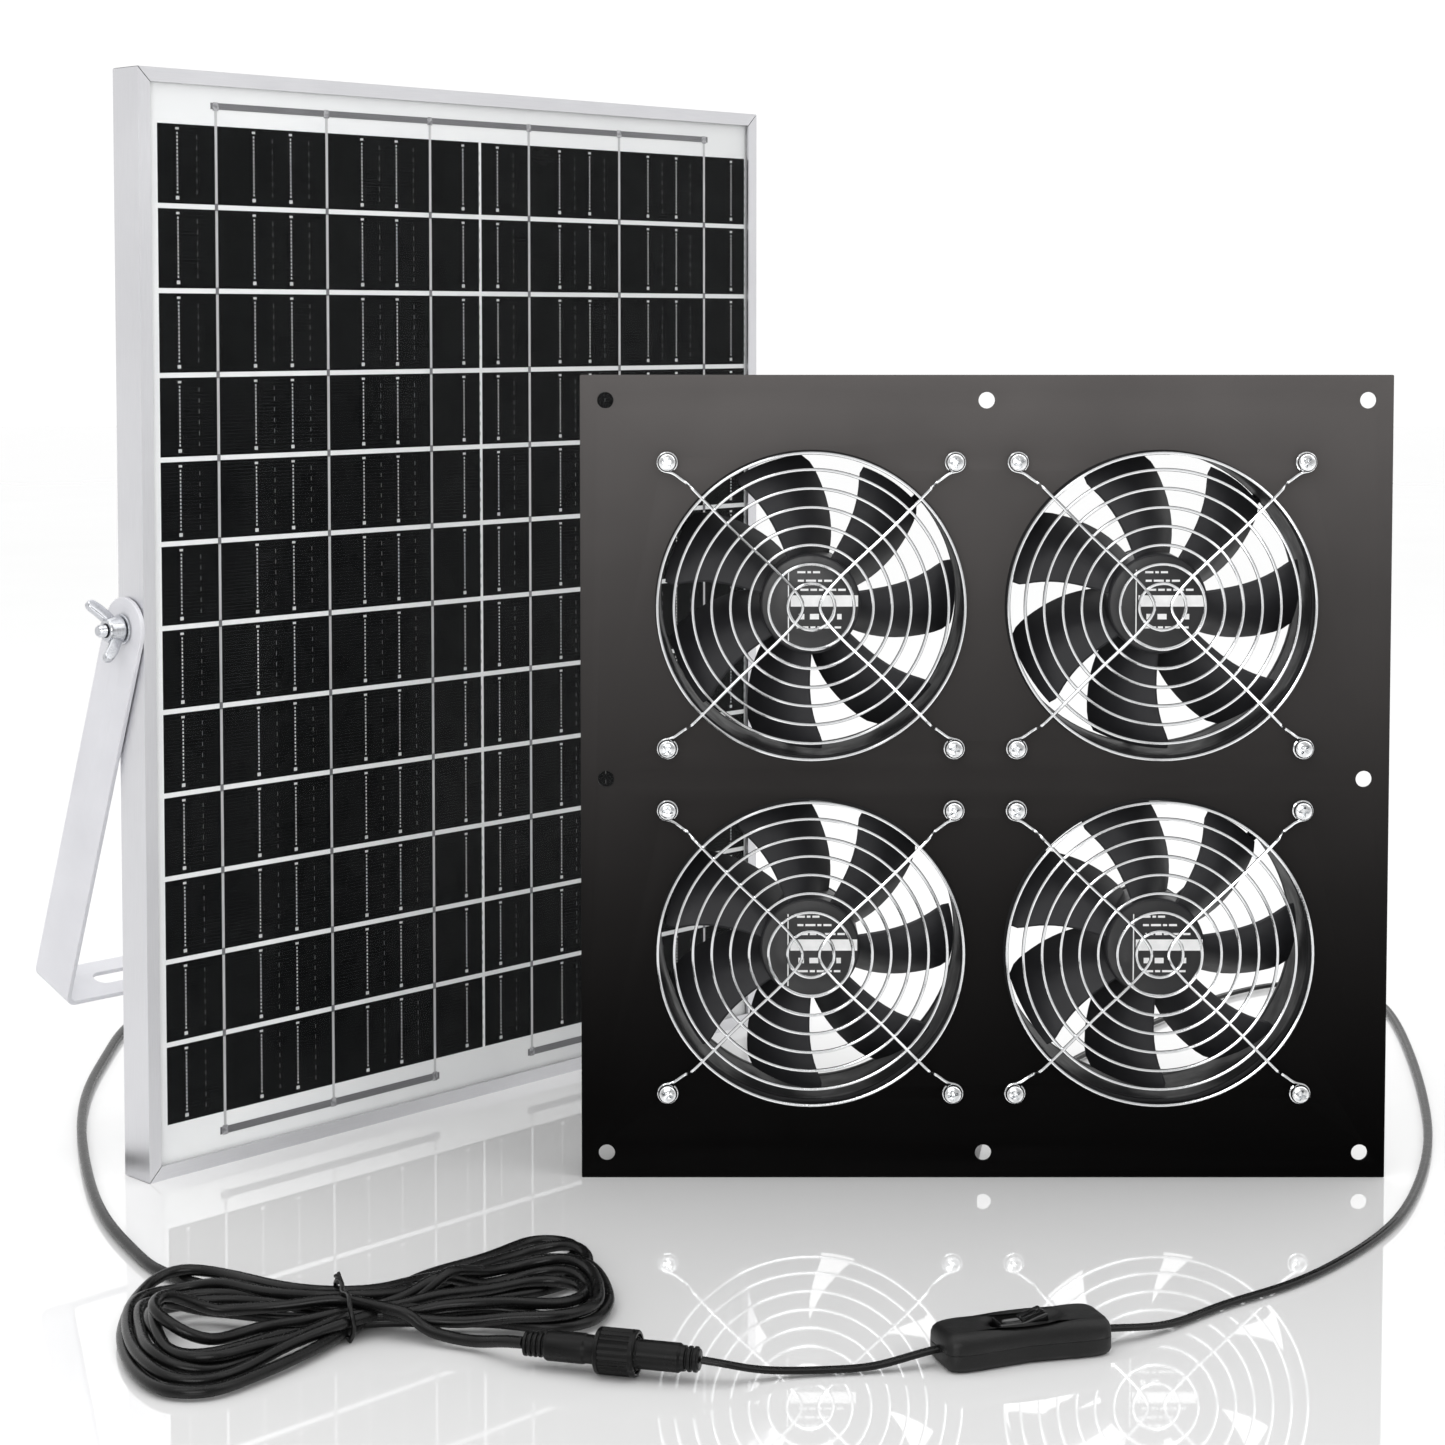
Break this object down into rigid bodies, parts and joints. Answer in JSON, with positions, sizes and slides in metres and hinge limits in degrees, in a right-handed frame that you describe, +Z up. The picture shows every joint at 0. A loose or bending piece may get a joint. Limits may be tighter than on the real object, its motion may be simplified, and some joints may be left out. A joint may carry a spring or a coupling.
{
  "type": "solar attic fan",
  "caption": "Black steel plate of guarded axial fans in a square, wired through an in-line rocker switch and a screwed connector to a framed solar panel on a folding U stand.",
  "frame": {"origin": "middle of the fan plate's bottom edge, where it stands on the floor", "axes": "+Z up, +Y out of the back of the plate (towards the fan bodies), +X to the right seen from the guarded front"},
  "size_m": [0.6187, 0.5417, 0.44],
  "materials": {
    "plate": "black painted sheet steel, soft gloss",
    "fan_frame": "black moulded plastic",
    "impeller": "dark grey moulded plastic, satin",
    "motor": "laminated steel and winding",
    "guard_wire": "bright chromed wire",
    "screw": "bright plated steel",
    "panel_frame": "silver anodised, satin",
    "glass": "clear flat glass",
    "cells": "black cells on a white backsheet",
    "box_plastic": "black moulded plastic",
    "stand": "light grey coated flat bar",
    "plated_steel": "bright zinc plated steel",
    "lead": "black flexible cable jacket",
    "connector": "black moulded plastic",
    "switch": "black fine-textured plastic",
    "rocker": "black polished plastic"
  },
  "bodies": {
    "root": {"fan_plate": "plate", "fan_frame_1": "fan_frame", "fan_frame_2": "fan_frame", "fan_frame_3": "fan_frame", "fan_frame_4": "fan_frame", "stator_1": "motor", "stator_2": "motor", "stator_3": "motor", "stator_4": "motor", "finger_guard_1": "guard_wire", "finger_guard_2": "guard_wire", "finger_guard_3": "guard_wire", "finger_guard_4": "guard_wire", "guard_screw_01": "screw", "guard_screw_02": "screw", "guard_screw_03": "screw", "guard_screw_04": "screw", "guard_screw_05": "screw", "guard_screw_06": "screw", "guard_screw_07": "screw", "guard_screw_08": "screw", "guard_screw_09": "screw", "guard_screw_10": "screw", "guard_screw_11": "screw", "guard_screw_12": "screw", "guard_screw_13": "screw", "guard_screw_14": "screw", "guard_screw_15": "screw", "guard_screw_16": "screw", "fan_harness": "lead", "rail_left": "panel_frame", "rail_right": "panel_frame", "rail_top": "panel_frame", "rail_bottom": "panel_frame", "panel_glass": "glass", "cell_laminate": "cells", "junction_box": "box_plastic", "junction_box_lid": "box_plastic", "cable_gland": "box_plastic", "pivot_bolt_left": "plated_steel", "pivot_bolt_right": "plated_steel", "panel_lead": "lead", "lead_hank": "lead", "lead_tail": "lead", "hank_tie": "lead", "male_connector": "connector", "female_connector": "connector", "fan_lead_in": "lead", "switch_base": "switch", "switch_cover": "switch", "fan_lead_out": "lead"},
    "stand_bracket": {"stand_bracket": "stand"},
    "wing_nut_left": {"wing_nut_left": "plated_steel"},
    "wing_nut_right": {"wing_nut_right": "plated_steel"},
    "coupling_ring": {"coupling_ring": "connector"},
    "rocker": {"rocker": "rocker"},
    "impeller_1": {"impeller_1": "impeller"},
    "impeller_2": {"impeller_2": "impeller"},
    "impeller_3": {"impeller_3": "impeller"},
    "impeller_4": {"impeller_4": "impeller"}
  },
  "joints": [
    {"name": "stand_hinge", "type": "hinge", "parent": "root", "child": "stand_bracket", "pos_m": [-0.21687, 0.12425, 0.22], "axis": [0.6943, 0.7197, 0], "range_deg": [-12, 152]},
    {"name": "fan_1_spin", "type": "hinge", "parent": "root", "child": "impeller_1", "pos_m": [-0.069, 0.02, 0.229], "axis": [0, -1, 0], "continuous": true},
    {"name": "fan_2_spin", "type": "hinge", "parent": "root", "child": "impeller_2", "pos_m": [0.069, 0.02, 0.229], "axis": [0, -1, 0], "continuous": true},
    {"name": "fan_3_spin", "type": "hinge", "parent": "root", "child": "impeller_3", "pos_m": [-0.069, 0.02, 0.091], "axis": [0, -1, 0], "continuous": true},
    {"name": "fan_4_spin", "type": "hinge", "parent": "root", "child": "impeller_4", "pos_m": [0.069, 0.02, 0.091], "axis": [0, -1, 0], "continuous": true},
    {"name": "rocker_tilt", "type": "hinge", "parent": "root", "child": "rocker", "pos_m": [-0.0054, -0.1905, 0.0095], "axis": [-0.309, 0.9511, 0], "range_deg": [0, 16]},
    {"name": "wing_nut_left_turn", "type": "hinge", "parent": "root", "child": "wing_nut_left", "pos_m": [-0.33837, -0.0017, 0.22], "axis": [-0.6943, -0.7197, 0], "range_deg": [0, 450]},
    {"name": "wing_nut_right_turn", "type": "hinge", "parent": "root", "child": "wing_nut_right", "pos_m": [-0.09537, 0.25019, 0.22], "axis": [0.6943, 0.7197, 0], "range_deg": [0, 450]},
    {"name": "coupling_ring_turn", "type": "hinge", "parent": "root", "child": "coupling_ring", "pos_m": [-0.13771, -0.20764, 0.0076], "axis": [-0.9681, 0.2504, 0], "range_deg": [0, 450]}
  ]
}
